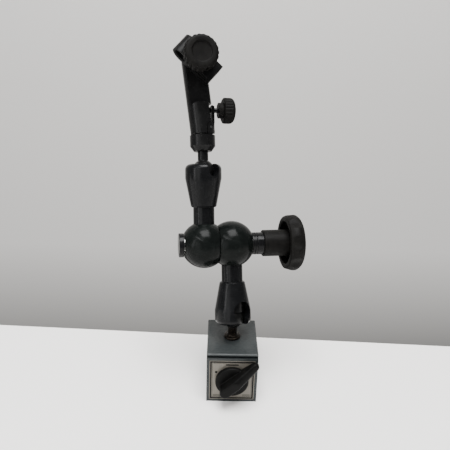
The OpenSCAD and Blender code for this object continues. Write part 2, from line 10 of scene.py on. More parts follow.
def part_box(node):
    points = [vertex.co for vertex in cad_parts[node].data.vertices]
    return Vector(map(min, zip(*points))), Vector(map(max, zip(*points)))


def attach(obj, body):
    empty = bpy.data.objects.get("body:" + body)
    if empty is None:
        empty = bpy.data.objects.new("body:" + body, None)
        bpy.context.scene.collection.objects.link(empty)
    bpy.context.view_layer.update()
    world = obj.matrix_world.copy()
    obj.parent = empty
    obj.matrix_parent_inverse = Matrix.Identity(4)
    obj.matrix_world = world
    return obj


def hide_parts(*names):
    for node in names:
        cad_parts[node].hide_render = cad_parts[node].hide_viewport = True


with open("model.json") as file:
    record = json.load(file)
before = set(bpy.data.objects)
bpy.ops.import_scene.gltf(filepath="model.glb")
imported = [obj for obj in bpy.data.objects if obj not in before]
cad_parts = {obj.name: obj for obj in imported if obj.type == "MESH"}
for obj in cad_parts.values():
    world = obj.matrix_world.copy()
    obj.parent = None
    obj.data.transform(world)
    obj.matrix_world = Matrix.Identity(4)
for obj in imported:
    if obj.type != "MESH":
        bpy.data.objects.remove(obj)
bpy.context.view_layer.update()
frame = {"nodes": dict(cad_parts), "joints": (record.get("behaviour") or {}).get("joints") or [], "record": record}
MM = 0.001

# distances in mm and an angle in degrees that the CAD part has too
KNUCKLE_GAP = 17.5  # between the centres of the two central balls
FINE_SCREW_Z = 38  # from the upper ball to the fine-adjust screw
SWITCH_TURN = 42  # the switch knob's turn from level

JOINTS = {j["name"]: j for j in frame["joints"]}


def joint_at(name):
    return Vector(JOINTS[name]["pos_m"])


def joint_axis(name):
    return Vector(JOINTS[name]["axis"]).normalized()


# ---- places and directions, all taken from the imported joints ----
BALL = joint_at("lower_fold")
ELBOW = joint_at("elbow_turn")
HEAD_BALL = joint_at("upper_fold")
ACROSS = joint_axis("thrust_slide")
LOWER_AXIS = (ELBOW - BALL).normalized()
LEFT_BALL = ELBOW - KNUCKLE_GAP * MM * ACROSS
UPPER_AXIS = (HEAD_BALL - LEFT_BALL).normalized()
HEAD_AXIS = joint_axis("head_swivel")
HEAD_SIDE = joint_axis("fine_screw_travel")
CLAMP_BOLT = joint_at("clamp_swing")
CLAMP_OUT = joint_axis("clamp_knob_travel")
STEM_AXIS = Vector(
    next(m["axis"] for m in frame["record"]["mounts"] if m["name"] == "stem_clamp")
)


def local_frame(origin, z_axis, x_hint):
    """Matrix of a frame at origin with +Z along z_axis and +X as near x_hint as it can be."""
    z = z_axis.normalized()
    x = (x_hint - z * x_hint.dot(z)).normalized()
    y = z.cross(x)
    m = Matrix((x, y, z)).transposed().to_4x4()
    m.translation = origin
    return m


# ---- materials ----


class Paint:
    """A procedural material under construction."""

    def __init__(self, name):
        self.mat = bpy.data.materials.new(name)
        self.mat.use_nodes = True
        self.tree = self.mat.node_tree
        self.tree.nodes.clear()
        out = self.node("ShaderNodeOutputMaterial")
        self.bsdf = self.node("ShaderNodeBsdfPrincipled")
        self.link(self.bsdf.outputs[0], out.inputs["Surface"])
        self.coord = self.node("ShaderNodeTexCoord").outputs["Object"]
        self.height = None

    def node(self, kind, **props):
        n = self.tree.nodes.new(kind)
        for k, v in props.items():
            setattr(n, k, v)
        return n

    def link(self, a, b):
        self.tree.links.new(a, b)

    def set(self, **values):
        for k, v in values.items():
            self.bsdf.inputs[k.replace("_", " ")].default_value = v

    def noise(self, size_mm, detail=2.0, rough=0.5, vector=None, distort=0.0):
        n = self.node("ShaderNodeTexNoise")
        n.inputs["Scale"].default_value = 1.0 / (size_mm * MM)
        n.inputs["Detail"].default_value = detail
        n.inputs["Roughness"].default_value = rough
        n.inputs["Distortion"].default_value = distort
        self.link(self.coord if vector is None else vector, n.inputs["Vector"])
        return n.outputs["Fac"]

    def cells(self, size_mm, smooth=1.0):
        n = self.node("ShaderNodeTexVoronoi", feature="SMOOTH_F1")
        n.inputs["Scale"].default_value = 1.0 / (size_mm * MM)
        n.inputs["Smoothness"].default_value = smooth
        self.link(self.coord, n.inputs["Vector"])
        return n.outputs["Distance"]

    def rings(self, axis, size_mm, detail=3.0):
        """Noise that changes only along an axis: the fine rings left by a lathe."""
        dot = self.node("ShaderNodeVectorMath", operation="DOT_PRODUCT")
        self.link(self.coord, dot.inputs[0])
        dot.inputs[1].default_value = axis
        n = self.node("ShaderNodeTexNoise", noise_dimensions="1D")
        n.inputs["Scale"].default_value = 1.0 / (size_mm * MM)
        n.inputs["Detail"].default_value = detail
        self.link(dot.outputs["Value"], n.inputs["W"])
        return n.outputs["Fac"]

    def stretched(self, scale):
        m = self.node("ShaderNodeMapping")
        m.inputs["Scale"].default_value = scale
        self.link(self.coord, m.inputs["Vector"])
        return m.outputs["Vector"]

    def ramp(self, fac, low, high, a=0.0, b=1.0):
        """fac from low..high to a..b, clamped."""
        m = self.node("ShaderNodeMapRange")
        for key, v in zip(
            ("From Min", "From Max", "To Min", "To Max"), (low, high, a, b)
        ):
            m.inputs[key].default_value = v
        self.link(fac, m.inputs["Value"])
        return m.outputs["Result"]

    def mix(self, fac, a, b):
        m = self.node("ShaderNodeMix", data_type="RGBA")
        self.link(fac, m.inputs[0])
        for socket, v in ((m.inputs[6], a), (m.inputs[7], b)):
            if hasattr(v, "links"):
                self.link(v, socket)
            else:
                socket.default_value = (*v, 1.0)
        return m.outputs[2]

    def color(self, socket):
        self.link(socket, self.bsdf.inputs["Base Color"])

    def roughness(self, fac, low, high):
        self.link(self.ramp(fac, 0.3, 0.7, low, high), self.bsdf.inputs["Roughness"])

    def bump(self, height, depth_mm):
        b = self.node("ShaderNodeBump")
        b.inputs["Distance"].default_value = depth_mm * MM
        b.inputs["Strength"].default_value = 1.0
        self.link(height, b.inputs["Height"])
        if self.height is not None:
            self.link(self.height, b.inputs["Normal"])
        self.height = b.outputs["Normal"]
        self.link(self.height, self.bsdf.inputs["Normal"])


def hammer_paint():
    """Grey hammertone paint on the base: small dimples, grime and a few rubbed patches."""
    p = Paint("hammer_paint")
    cells, blotch = p.cells(1.3), p.noise(9, 3, 0.6)
    base = p.mix(p.ramp(cells, 0.15, 0.7), (0.019, 0.023, 0.024), (0.0135, 0.0165, 0.017))
    base = p.mix(p.ramp(blotch, 0.35, 0.7), base, (0.026, 0.029, 0.029))
    grime = p.ramp(p.noise(5, 4, 0.7), 0.55, 0.72, 0.0, 0.4)
    p.color(p.mix(grime, base, (0.011, 0.012, 0.012)))
    p.roughness(p.noise(2.5, 3), 0.36, 0.52)
    p.bump(cells, 0.07)
    p.bump(p.noise(0.4, 2), 0.012)
    p.set(Metallic=0.15, IOR=1.4, Specular_IOR_Level=0.35)
    return p.mat


def worn_paint(name, paint, bare):
    """Paint rubbed through to steel, in broken streaks along an edge."""
    p = Paint(name)
    worn = p.ramp(p.noise(1.8, 4, 0.65), 0.47, 0.58)
    p.color(p.mix(worn, paint, bare))
    p.link(p.ramp(worn, 0, 1, 0.2, 0.8), p.bsdf.inputs["Metallic"])
    p.roughness(p.noise(1.0, 3), 0.34, 0.52)
    p.bump(worn, -0.03)
    p.bump(p.noise(0.5, 3), 0.015)
    return p.mat


def turned_black(name, axis, shade=(0.0026, 0.0027, 0.0029), rough=(0.17, 0.29)):
    """Black finish on turned metal, with faint lathe rings, dust and rubbed spots."""
    p = Paint(name)
    rings = p.rings(axis, 0.35)
    handled = p.noise(6.0, 3, 0.6)
    base = p.mix(p.ramp(rings, 0.35, 0.65), shade, tuple(1.5 * c for c in shade))
    base = p.mix(p.ramp(handled, 0.45, 0.75, 0.0, 0.5), base, tuple(2.2 * c for c in shade))
    dust = p.ramp(p.noise(1.2, 5, 0.75), 0.62, 0.80, 0.0, 0.25)
    p.color(p.mix(dust, base, (0.014, 0.014, 0.0135)))
    p.roughness(handled, *rough)
    p.bump(rings, 0.006)
    p.bump(p.noise(0.7, 3), 0.003)
    p.set(IOR=1.4, Specular_IOR_Level=0.15)
    return p.mat


def worn_black():
    """The same finish where an edge has been rubbed towards bare metal."""
    p = Paint("worn_black")
    worn = p.ramp(p.noise(1.3, 4, 0.7), 0.50, 0.64)
    p.color(p.mix(worn, (0.004, 0.004, 0.0043), (0.018, 0.018, 0.0175)))
    p.link(p.ramp(worn, 0, 1, 0.1, 0.7), p.bsdf.inputs["Metallic"])
    p.roughness(p.noise(0.8, 3), 0.30, 0.44)
    p.bump(p.noise(0.5, 2), 0.008)
    p.set(IOR=1.4, Specular_IOR_Level=0.25)
    return p.mat


def polished_black():
    """Glossy black with a green cast on the two central balls, smudged by handling."""
    p = Paint("polished_black")
    smudge = p.noise(5.0, 4, 0.6, distort=0.6)
    base = p.mix(p.ramp(smudge, 0.4, 0.7), (0.0030, 0.0037, 0.0034), (0.0052, 0.0061, 0.0057))
    dust = p.ramp(p.noise(0.9, 5, 0.8), 0.64, 0.82, 0.0, 0.22)
    p.color(p.mix(dust, base, (0.015, 0.018, 0.017)))
    p.roughness(smudge, 0.13, 0.30)
    p.bump(p.noise(2.4, 3), 0.010)
    p.bump(p.rings(LOWER_AXIS, 0.5), 0.003)
    p.set(IOR=1.4, Specular_IOR_Level=0.08)
    return p.mat


def black_plastic():
    """Moulded black plastic with a fine grain, gone slightly brown with use."""
    p = Paint("black_plastic")
    grain = p.noise(0.28, 3, 0.6)
    handled = p.noise(5.0, 4, 0.6)
    base = p.mix(p.ramp(handled, 0.35, 0.7), (0.0028, 0.0026, 0.0024), (0.0052, 0.0049, 0.0044))
    dust = p.ramp(p.noise(0.8, 5, 0.8), 0.60, 0.80, 0.0, 0.22)
    p.color(p.mix(dust, base, (0.021, 0.020, 0.018)))
    p.roughness(handled, 0.46, 0.62)
    p.bump(grain, 0.03)
    p.bump(p.noise(1.6, 2), 0.015)
    p.set(IOR=1.4, Specular_IOR_Level=0.09)
    return p.mat


def knob_plastic():
    """The switch knob's smoother, blacker plastic."""
    p = Paint("knob_plastic")
    handled = p.noise(4.0, 4, 0.6)
    p.color(p.mix(p.ramp(handled, 0.4, 0.7), (0.0016, 0.0016, 0.0015), (0.0034, 0.0033, 0.0031)))
    p.roughness(handled, 0.34, 0.50)
    p.bump(p.noise(0.3, 3, 0.6), 0.012)
    p.set(IOR=1.4, Specular_IOR_Level=0.09)
    return p.mat


def stud_steel():
    """Steel gone brown on the neck and flange, and a ball coloured near black as painted shade, where it sits
    inside the socket.
    """
    p = Paint("stud_steel")
    patina = p.noise(2.2, 5, 0.65)
    base = p.mix(p.ramp(patina, 0.38, 0.62), (0.016, 0.0125, 0.0095), (0.0055, 0.0043, 0.0033))
    bright = p.ramp(p.noise(1.1, 3, 0.6), 0.60, 0.72, 0.0, 0.5)
    brown = p.mix(bright, base, (0.10, 0.080, 0.058))
    parts = p.node("ShaderNodeSeparateXYZ")
    p.link(p.coord, parts.inputs[0])
    # painted shade: the ball, which sits inside the lower socket, is coloured near black
    ball = p.ramp(parts.outputs["Z"], BALL.z - 7.5 * MM, BALL.z - 6 * MM)  # 1 on the ball
    p.color(p.mix(ball, brown, (0.0030, 0.0030, 0.0028)))
    p.roughness(patina, 0.24, 0.44)
    p.bump(p.noise(0.35, 4, 0.7), 0.015)
    p.bump(p.rings((0, 0, 1), 0.3), 0.006)
    p.link(p.ramp(ball, 0, 1, 0.7, 0.1), p.bsdf.inputs["Metallic"])
    p.set(IOR=1.4, Specular_IOR_Level=0.2)
    return p.mat


def bright_steel(name="bright_steel", tint=(0.60, 0.60, 0.58), axis=(0, 1, 0)):
    """Bare turned metal with fine rings and a little haze."""
    p = Paint(name)
    haze = p.noise(1.5, 4, 0.6)
    p.color(p.mix(p.ramp(haze, 0.4, 0.7), tint, tuple(0.62 * c for c in tint)))
    p.roughness(haze, 0.20, 0.38)
    p.bump(p.rings(axis, 0.15), 0.006)
    p.set(Metallic=1.0)
    return p.mat


def label_metal():
    """Thin aluminium label, brushed along its height and yellowed a little."""
    p = Paint("label_metal")
    brush = p.noise(0.35, 2, 0.5, vector=p.stretched((1.0, 1.0, 0.04)))
    stain = p.noise(6.0, 4, 0.6)
    base = p.mix(p.ramp(brush, 0.3, 0.7), (0.138, 0.127, 0.105), (0.105, 0.097, 0.082))
    p.color(p.mix(p.ramp(stain, 0.45, 0.75, 0.0, 0.5), base, (0.105, 0.090, 0.068)))
    p.roughness(stain, 0.36, 0.52)
    p.bump(brush, 0.006)
    p.set(Metallic=0.3)
    return p.mat


def label_ink():
    """Printed black border and marks, a little faded."""
    p = Paint("label_ink")
    fade = p.ramp(p.noise(1.2, 4, 0.7), 0.62, 0.78, 0.0, 0.5)
    p.color(p.mix(fade, (0.003, 0.003, 0.003), (0.040, 0.038, 0.033)))
    p.roughness(p.noise(1.0, 2), 0.5, 0.7)
    p.set(IOR=1.4, Specular_IOR_Level=0.1)
    return p.mat


def magnet_grey():
    """Sintered magnet, dull and grainy."""
    p = Paint("magnet_grey")
    grain = p.noise(0.5, 4, 0.7)
    p.color(p.mix(p.ramp(grain, 0.3, 0.7), (0.045, 0.045, 0.048), (0.020, 0.020, 0.022)))
    p.roughness(grain, 0.55, 0.75)
    p.bump(grain, 0.03)
    p.set(Metallic=0.4)
    return p.mat


def stage_floor():
    """Smooth white board, hardly mottled."""
    p = Paint("stage_floor")
    p.color(p.mix(p.noise(60, 3), (0.90, 0.885, 0.865), (0.88, 0.865, 0.845)))
    p.roughness(p.noise(20, 2), 0.5, 0.6)
    return p.mat


def glowing_wall_with_painted_shade():
    """Pale wall far behind that glows a little though it is no lamp, with painted shade low down: darker and
    glowing less towards its foot.
    """
    p = Paint("glowing_wall_with_painted_shade")
    parts = p.node("ShaderNodeSeparateXYZ")
    p.link(p.coord, parts.inputs[0])
    foot, half_way = -1.05, -0.6  # heights that the camera sees over the floor's edge
    # painted shade and glow: 0 at the foot, 1 from half way up
    rise = p.ramp(parts.outputs["Z"], foot, half_way)
    p.color(p.mix(rise, (0.26, 0.252, 0.238), (0.58, 0.565, 0.54)))
    # the wall glows a little, more high up than low down
    p.link(p.ramp(rise, 0, 1, 0.08, 0.27), p.bsdf.inputs["Emission Strength"])
    p.set(Emission_Color=(1.0, 0.98, 0.95, 1))
    p.roughness(p.noise(20, 2), 0.6, 0.7)
    return p.mat


HAMMER = hammer_paint()
WORN_PAINT = worn_paint("worn_paint", (0.020, 0.024, 0.025), (0.050, 0.053, 0.053))
# painted shade: the front and back covers' rounded edges are coloured near black, standing for the shade in the
# gaps round the covers and the label's pocket
COVER_GAP_SHADE = worn_paint("cover_edge_painted_shade", (0.004, 0.004, 0.0035), (0.007, 0.007, 0.0065))
WORN_BLACK = worn_black()
LOWER_BLACK = turned_black("lower_arm_black", LOWER_AXIS)
UPPER_BLACK = turned_black("upper_arm_black", UPPER_AXIS)
HEAD_BLACK = turned_black("head_black", HEAD_AXIS, (0.0034, 0.0034, 0.0034), (0.19, 0.31))
ACROSS_BLACK = turned_black("across_black", ACROSS)
CLAMP_BLACK = turned_black("clamp_black", STEM_AXIS, (0.0022, 0.0022, 0.0022), (0.32, 0.46))
POLISHED = polished_black()
PLASTIC = black_plastic()
KNOB_PLASTIC = knob_plastic()
STUD = stud_steel()
STEEL = bright_steel()
GROUND_STEEL = bright_steel("ground_steel", (0.42, 0.42, 0.41), (1, 0, 0))
DULL_STEEL = bright_steel("dull_steel", (0.13, 0.13, 0.125))
BRASS = bright_steel("machined_brass", (0.62, 0.45, 0.20))
LABEL = label_metal()
INK = label_ink()
MAGNET = magnet_grey()

MATERIAL_OF = {
    "left_pole": HAMMER, "right_pole": HAMMER, "pole_spacer": HAMMER,
    "front_cover": HAMMER, "back_cover": HAMMER, "cover_screws": DULL_STEEL,
    "label_plate": LABEL, "rotor_magnet": MAGNET, "rotor_shoes": STEEL,
    "switch_shaft": STEEL, "rear_stub": DULL_STEEL, "switch_knob": KNOB_PLASTIC,
    "knob_pin": DULL_STEEL, "lower_ball_stud": STUD, "lower_socket": LOWER_BLACK,
    "lower_tube": LOWER_BLACK, "lower_knuckle": POLISHED, "lower_push_rod": STEEL,
    "lower_ball_seat": HEAD_BLACK, "upper_socket": UPPER_BLACK,
    "upper_tube": UPPER_BLACK, "upper_knuckle": POLISHED, "upper_push_rod": STEEL,
    "upper_ball_seat": HEAD_BLACK, "draw_bolt": ACROSS_BLACK, "left_wedge": STEEL,
    "right_wedge": STEEL, "knuckle_spring": STEEL, "thrust_washer": ACROSS_BLACK,
    "thrust_collar": ACROSS_BLACK, "handwheel": PLASTIC, "handwheel_nut": BRASS,
    "upper_ball_stud": HEAD_BLACK, "head_body": HEAD_BLACK, "pivot_pin": DULL_STEEL,
    "fine_spring": STEEL, "fine_screw": ACROSS_BLACK, "fine_knob": PLASTIC,
    "tilt_arm": HEAD_BLACK, "clamp_bolt": HEAD_BLACK, "clamp_block": CLAMP_BLACK,
    "clamp_washer": HEAD_BLACK, "clamp_knob": PLASTIC, "clamp_knob_nut": BRASS,
}
for node_name, material in MATERIAL_OF.items():
    mesh = frame["nodes"][node_name].data
    mesh.materials.clear()
    mesh.materials.append(material)

BODY_OF = {
    n: b for b, ns in frame["record"]["behaviour"]["bodies"].items() for n in ns
}


# ---- shapes ----


def add_piece(name, bm, node, materials, smooth=True):
    """Makes a piece from bm that stands for a CAD node."""
    mesh = bpy.data.meshes.new(name)
    for face in bm.faces:
        face.smooth = smooth
    bm.to_mesh(mesh)
    bm.free()
    piece = bpy.data.objects.new(name, mesh)
    bpy.context.scene.collection.objects.link(piece)
    for m in materials:
        mesh.materials.append(m)
    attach(piece, BODY_OF[node])
    return piece


def bake_modifiers(piece):
    """Applies the piece's modifiers to its mesh."""
    graph = bpy.context.evaluated_depsgraph_get()
    made = bpy.data.meshes.new_from_object(piece.evaluated_get(graph))
    piece.modifiers.clear()
    old = piece.data
    piece.data = made
    bpy.data.meshes.remove(old)


def weigh_normals(piece):
    """Shades broad faces flat where they meet a small round edge."""
    mod = piece.modifiers.new("normals", "WEIGHTED_NORMAL")
    mod.keep_sharp = True
    mod.weight = 80
    bake_modifiers(piece)


def softened(node, width_mm, edge_material, keep=None, patches=()):
    """A copy of a CAD node's shape with its sharp edges rounded, standing for the node.

    keep picks the edges to round; patches are (material, test of a face) pairs."""
    bm = bmesh.new()
    bm.from_mesh(frame["nodes"][node].data)
    bmesh.ops.remove_doubles(bm, verts=bm.verts, dist=1e-7)
    bmesh.ops.dissolve_limit(
        bm, angle_limit=math.radians(0.2), verts=bm.verts, edges=bm.edges
    )
    sharp = math.radians(28)
    edges = [
        e for e in bm.edges
        if len(e.link_faces) == 2 and e.calc_face_angle(0) > sharp
        and (keep is None or keep(e))
    ]
    bmesh.ops.bevel(
        bm, geom=edges, offset=width_mm * MM, segments=2, profile=0.5,
        affect="EDGES", clamp_overlap=True, material=1, loop_slide=True,
    )
    for face in bm.faces:
        for i, (_, test) in enumerate(patches):
            if test(face):
                face.material_index = 2 + i
    for e in bm.edges:
        e.smooth = len(e.link_faces) == 2 and e.calc_face_angle(0) < math.radians(40)
    materials = [MATERIAL_OF[node], edge_material] + [m for m, _ in patches]
    piece = add_piece(node + "_softened", bm, node, materials)
    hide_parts(node)
    weigh_normals(piece)
    return piece


def is_underside(face):
    return face.normal.z < -0.9 and face.calc_center_median().z < 0.5 * MM


SPACER_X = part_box("pole_spacer")[1].x


def off_spacer(edge):
    """False on the plane where a pole meets the spacer, which the paint covers."""
    return not all(abs(abs(v.co.x) - SPACER_X) < 0.01 * MM for v in edge.verts)


def runs_across(edge):
    """True on an edge that runs from left to right."""
    a, b = (v.co for v in edge.verts)
    return abs(a.x - b.x) > 0.9 * (a - b).length


def soft_min(a, b, k):
    """The smaller of a and b, blended over a width of k where they are close."""
    h = max(k - abs(a - b), 0.0) / k
    return min(a, b) - h * h * k / 4


def fluted(count, radius, centre, blend, phase=0.0):
    """Cuts count round flutes of the given radius, whose centres lie centre away from the axis."""
    pitch = 2 * math.pi / count

    def cut(theta, r):
        t = (theta - phase + pitch / 2) % pitch - pitch / 2
        side = centre * math.sin(t)
        if abs(side) >= radius:
            reach = centre * math.cos(t) + (abs(side) - radius)
        else:
            reach = centre * math.cos(t) - math.sqrt(radius**2 - side**2)
        return soft_min(r, reach, blend)

    return cut


def rounded_profile(points, steps=4):
    """points are (r, z, corner radius); each corner becomes an arc of a few steps."""
    out = []
    for i, (r, z, radius) in enumerate(points):
        if radius <= 0 or i in (0, len(points) - 1):
            out.append((r, z))
            continue
        here = Vector((r, z))
        before = Vector(points[i - 1][:2]) - here
        after = Vector(points[i + 1][:2]) - here
        reach = min(radius, before.length * 0.49, after.length * 0.49)
        a, b = here + before.normalized() * reach, here + after.normalized() * reach
        for k in range(steps + 1):
            t = k / steps
            q = a * (1 - t) ** 2 + here * 2 * t * (1 - t) + b * t**2
            out.append((q.x, q.y))
    return out


def turned(name, node, place, points, materials, cut=None, segments=128):
    """A turned or moulded piece: points (r, z, corner radius) in mm round the place's +Z."""
    profile = rounded_profile(points)
    bm = bmesh.new()
    rings = []
    for r, z in profile:
        if r < 1e-6:
            rings.append([bm.verts.new(place @ Vector((0, 0, z * MM)))])
            continue
        ring = []
        for i in range(segments):
            t = 2 * math.pi * i / segments
            reach = cut(t, r) if cut else r
            ring.append(
                bm.verts.new(
                    place @ Vector((reach * math.cos(t) * MM, reach * math.sin(t) * MM, z * MM))
                )
            )
        rings.append(ring)
    for a, b in zip(rings, rings[1:]):
        for i in range(segments):
            j = (i + 1) % segments
            if len(a) == 1:
                bm.faces.new((a[0], b[j], b[i]))
            elif len(b) == 1:
                bm.faces.new((a[i], a[j], b[0]))
            else:
                bm.faces.new((a[i], a[j], b[j], b[i]))
    bmesh.ops.recalc_face_normals(bm, faces=bm.faces)
    for e in bm.edges:
        e.smooth = len(e.link_faces) == 2 and e.calc_face_angle(0) < math.radians(48)
    piece = add_piece(name, bm, node, materials)
    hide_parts(node)
    weigh_normals(piece)
    return piece


def build_handwheel():
    """Hub round the nut, hollow back, and a rim with eight lobes."""
    place = local_frame(ELBOW, ACROSS, Vector((0, 0, 1)))
    hub, rim = 8.6, 18.5
    hub_from, back, web, face = 20.3, 34.8, 41.3, 44.8
    bolt_r, bolt_to, nut_r, nut_to = 3.4, 39.0, 5.2, 32.3
    points = [
        (0, bolt_to, 0), (bolt_r, bolt_to, 0), (bolt_r, nut_to, 0), (nut_r, nut_to, 0),
        (nut_r, hub_from, 0), (hub - 0.1, hub_from, 0.5), (hub, web, 1.6),
        (rim - 4.7, web, 1.2), (rim - 4.7, back, 0.9), (rim - 1.6, back, 0.8), (rim, back + 3.2, 3.0),
        (rim, face - 3.4, 3.0), (rim - 2.6, face, 2.0), (rim - 8, face, 0.8),
        (rim - 9.2, face - 0.6, 0.6), (0, face - 0.6, 0),
    ]
    lobes, lobe_cut, hollow_r = 8, 1.4, 9.0
    turned(
        "handwheel_moulded", "handwheel", place, points, [PLASTIC], segments=32 * lobes,
        cut=fluted(lobes, hollow_r, rim + hollow_r - lobe_cut, 0.7, phase=math.pi / lobes),
    )


def build_fine_knob():
    """Narrow collar and a finely fluted grip with a rounded end."""
    place = local_frame(HEAD_BALL + FINE_SCREW_Z * MM * HEAD_AXIS, HEAD_SIDE, HEAD_AXIS)
    screw_r, screw_to, collar_r, rim = 1.55, 16.2, 4.9, 8.1
    back, grip, end = 10.4, 13.2, 21.0
    points = [
        (0, screw_to, 0), (screw_r, screw_to, 0), (screw_r, back, 0),
        (collar_r, back, 0.4), (collar_r, grip, 0.3), (rim - 1.1, grip, 0.3),
        (rim, grip + 0.7, 0.5), (rim, end - 2.4, 1.2), (rim - 1.1, end - 0.9, 1.0),
        (rim - 3.5, end, 1.4), (0, end, 0),
    ]
    flutes = 24
    turned(
        "fine_knob_knurled", "fine_knob", place, points, [PLASTIC],
        cut=fluted(flutes, 0.75, rim + 0.4, 0.2), segments=14 * flutes,
    )


def build_clamp_knob():
    """Fluted knob with a dished face, hollow for its nut and the bolt."""
    place = local_frame(CLAMP_BOLT, CLAMP_OUT, HEAD_AXIS)
    rim, back = 10.4, 16.9
    front = back + 9.4
    bolt_r, bolt_to, nut_r, nut_to = 2.7, front - 1.6, 4, back + 5
    points = [
        (0, bolt_to, 0), (bolt_r, bolt_to, 0), (bolt_r, nut_to, 0), (nut_r, nut_to, 0),
        (nut_r, back, 0), (rim - 1.7, back, 0.4), (rim - 0.6, back + 1.6, 0.6),
        (rim, back + 2.4, 0.6), (rim, front - 1.5, 0.9), (rim - 1.1, front - 0.2, 0.7),
        (rim - 2.3, front, 0.4), (rim - 4.2, front, 0.3), (rim - 4.6, front - 0.9, 0.3),
        (0, front - 0.9, 0),
    ]
    flutes = 22
    turned(
        "clamp_knob_fluted", "clamp_knob", place, points, [PLASTIC],
        cut=fluted(flutes, 1.0, rim + 0.35, 0.15), segments=16 * flutes,
    )


def arc(radius, start, end, steps):
    """Profile points along an arc about the origin, from one angle to another in degrees."""
    angles = [math.radians(start + (end - start) * i / steps) for i in range(steps + 1)]
    return [(radius * math.cos(a), radius * math.sin(a), 0) for a in angles]


def build_lower_stud():
    """Ball, turned neck, flange and the threaded end that goes into the base."""
    place = local_frame(BALL, Vector((0, 0, 1)), Vector((1, 0, 0)))
    ball, neck, flange, rise = 7.0, 3.25, 5.35, 14.8
    meet = math.degrees(math.acos(neck / ball))
    points = [(0, ball, 0)] + arc(ball, 88, -meet, 22) + [
        (neck, -7.4, 0.4), (neck - 0.35, -8.0, 0.3), (neck - 0.35, 2.6 - rise, 0.3),
        (neck + 0.3, 1.9 - rise, 0.3), (flange - 0.5, 1.7 - rise, 0.3),
        (flange, 1.2 - rise, 0.3), (flange, 0.35 - rise, 0.3), (flange - 0.4, 0.05 - rise, 0),
        (neck, 0.05 - rise, 0), (neck, -5.4 - rise, 0.4), (0, -5.6 - rise, 0),
    ]
    turned("lower_ball_stud_turned", "lower_ball_stud", place, points, [STUD], segments=96)


def rounded_peg(bm, x, radius, foot, top, edge):
    """Adds the points of an upright round peg with a rounded top edge."""
    for i in range(40):
        t = 2 * math.pi * i / 40
        bm.verts.new(((x + radius * math.cos(t)) * MM, radius * math.sin(t) * MM, foot * MM))
        for k in range(5):
            a = math.pi / 2 * k / 4
            r = radius - edge * (1 - math.cos(a))
            z = top - edge * (1 - math.sin(a))
            bm.verts.new(((x + r * math.cos(t)) * MM, r * math.sin(t) * MM, z * MM))


def closed_hull(bm):
    """Turns a cloud of points into the closed surface round it."""
    made = bmesh.ops.convex_hull(bm, input=bm.verts)
    loose = [g for g in made["geom_interior"] if isinstance(g, bmesh.types.BMVert)]
    bmesh.ops.delete(bm, geom=loose, context="VERTS")


def build_switch_knob():
    """A round skirt with one tapering fin across it, moulded as one piece."""
    back_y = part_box("switch_knob")[1].y
    axis_z = joint_at("switch_turn").z
    upright = Matrix.Rotation(math.pi / 2, 4, "X")
    turn = Matrix.Rotation(math.radians(SWITCH_TURN), 4, "Z")
    place = Matrix.Translation((0, back_y, axis_z)) @ upright @ turn
    skirt_r, skirt_top, fin_r, fin_top = 10.45, 2.6, 3.35, 8.9
    tail_x, front_x, tip_x, tip_r, tip_top = -5.8, 3.0, 18.8, 2.45, 4.2
    skirt, fin = bmesh.new(), bmesh.new()
    rounded_peg(skirt, 0, skirt_r, 0, skirt_top, 0.8)
    for x in (tail_x, front_x):
        rounded_peg(fin, x, fin_r, 0.1, fin_top, 1.1)
    rounded_peg(fin, tip_x, tip_r, 1.0, tip_top, 1.0)
    whole = bmesh.new()
    for part in (skirt, fin):
        closed_hull(part)
        mesh = bpy.data.meshes.new("part")
        part.to_mesh(mesh)
        part.free()
        whole.from_mesh(mesh)
        bpy.data.meshes.remove(mesh)
    bmesh.ops.transform(whole, matrix=place, verts=whole.verts)
    piece = add_piece("switch_knob_moulded", whole, "switch_knob", [KNOB_PLASTIC])
    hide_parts("switch_knob")
    remesh = piece.modifiers.new("remesh", "REMESH")
    remesh.mode = "VOXEL"
    remesh.voxel_size = 0.22 * MM
    remesh.use_smooth_shade = True
    smooth = piece.modifiers.new("smooth", "SMOOTH")
    smooth.factor = 0.5
    smooth.iterations = 8
    bake_modifiers(piece)


build_handwheel()
build_fine_knob()
build_clamp_knob()
build_lower_stud()
build_switch_knob()

SOFT_EDGES = {
    # the covers' edges take the near-black painted shade
    "front_cover": (0.22, COVER_GAP_SHADE), "back_cover": (0.3, COVER_GAP_SHADE),
    "lower_socket": (0.28, WORN_BLACK),
    "lower_tube": (0.15, WORN_BLACK), "lower_knuckle": (0.25, WORN_BLACK),
    "upper_socket": (0.28, WORN_BLACK), "upper_tube": (0.15, WORN_BLACK),
    "upper_knuckle": (0.25, WORN_BLACK), "draw_bolt": (0.45, WORN_BLACK),
    "thrust_washer": (0.2, WORN_BLACK), "thrust_collar": (0.12, WORN_BLACK),
    "upper_ball_stud": (0.2, WORN_BLACK), "head_body": (0.2, WORN_BLACK),
    "tilt_arm": (0.25, WORN_BLACK), "clamp_block": (0.4, WORN_BLACK),
    "clamp_bolt": (0.3, WORN_BLACK), "clamp_washer": (0.12, WORN_BLACK),
    "pivot_pin": (0.2, DULL_STEEL), "label_plate": (0.05, LABEL),
}
for node_name, (width, edge) in SOFT_EDGES.items():
    softened(node_name, width, edge)
POLE_EDGE = 0.35
for node_name in ("left_pole", "right_pole"):
    softened(node_name, POLE_EDGE, WORN_PAINT, off_spacer, [(GROUND_STEEL, is_underside)])
softened("pole_spacer", POLE_EDGE, WORN_PAINT, runs_across, [(BRASS, is_underside)])


def strip(bm, low, high):
    """A thin box between two corners."""
    made = bmesh.ops.create_cube(bm, size=1.0)["verts"]
    low, high = Vector(low), Vector(high)
    for v in made:
        v.co = Vector(
            (low[i] + high[i]) / 2 + v.co[i] * (high[i] - low[i]) for i in range(3)
        )


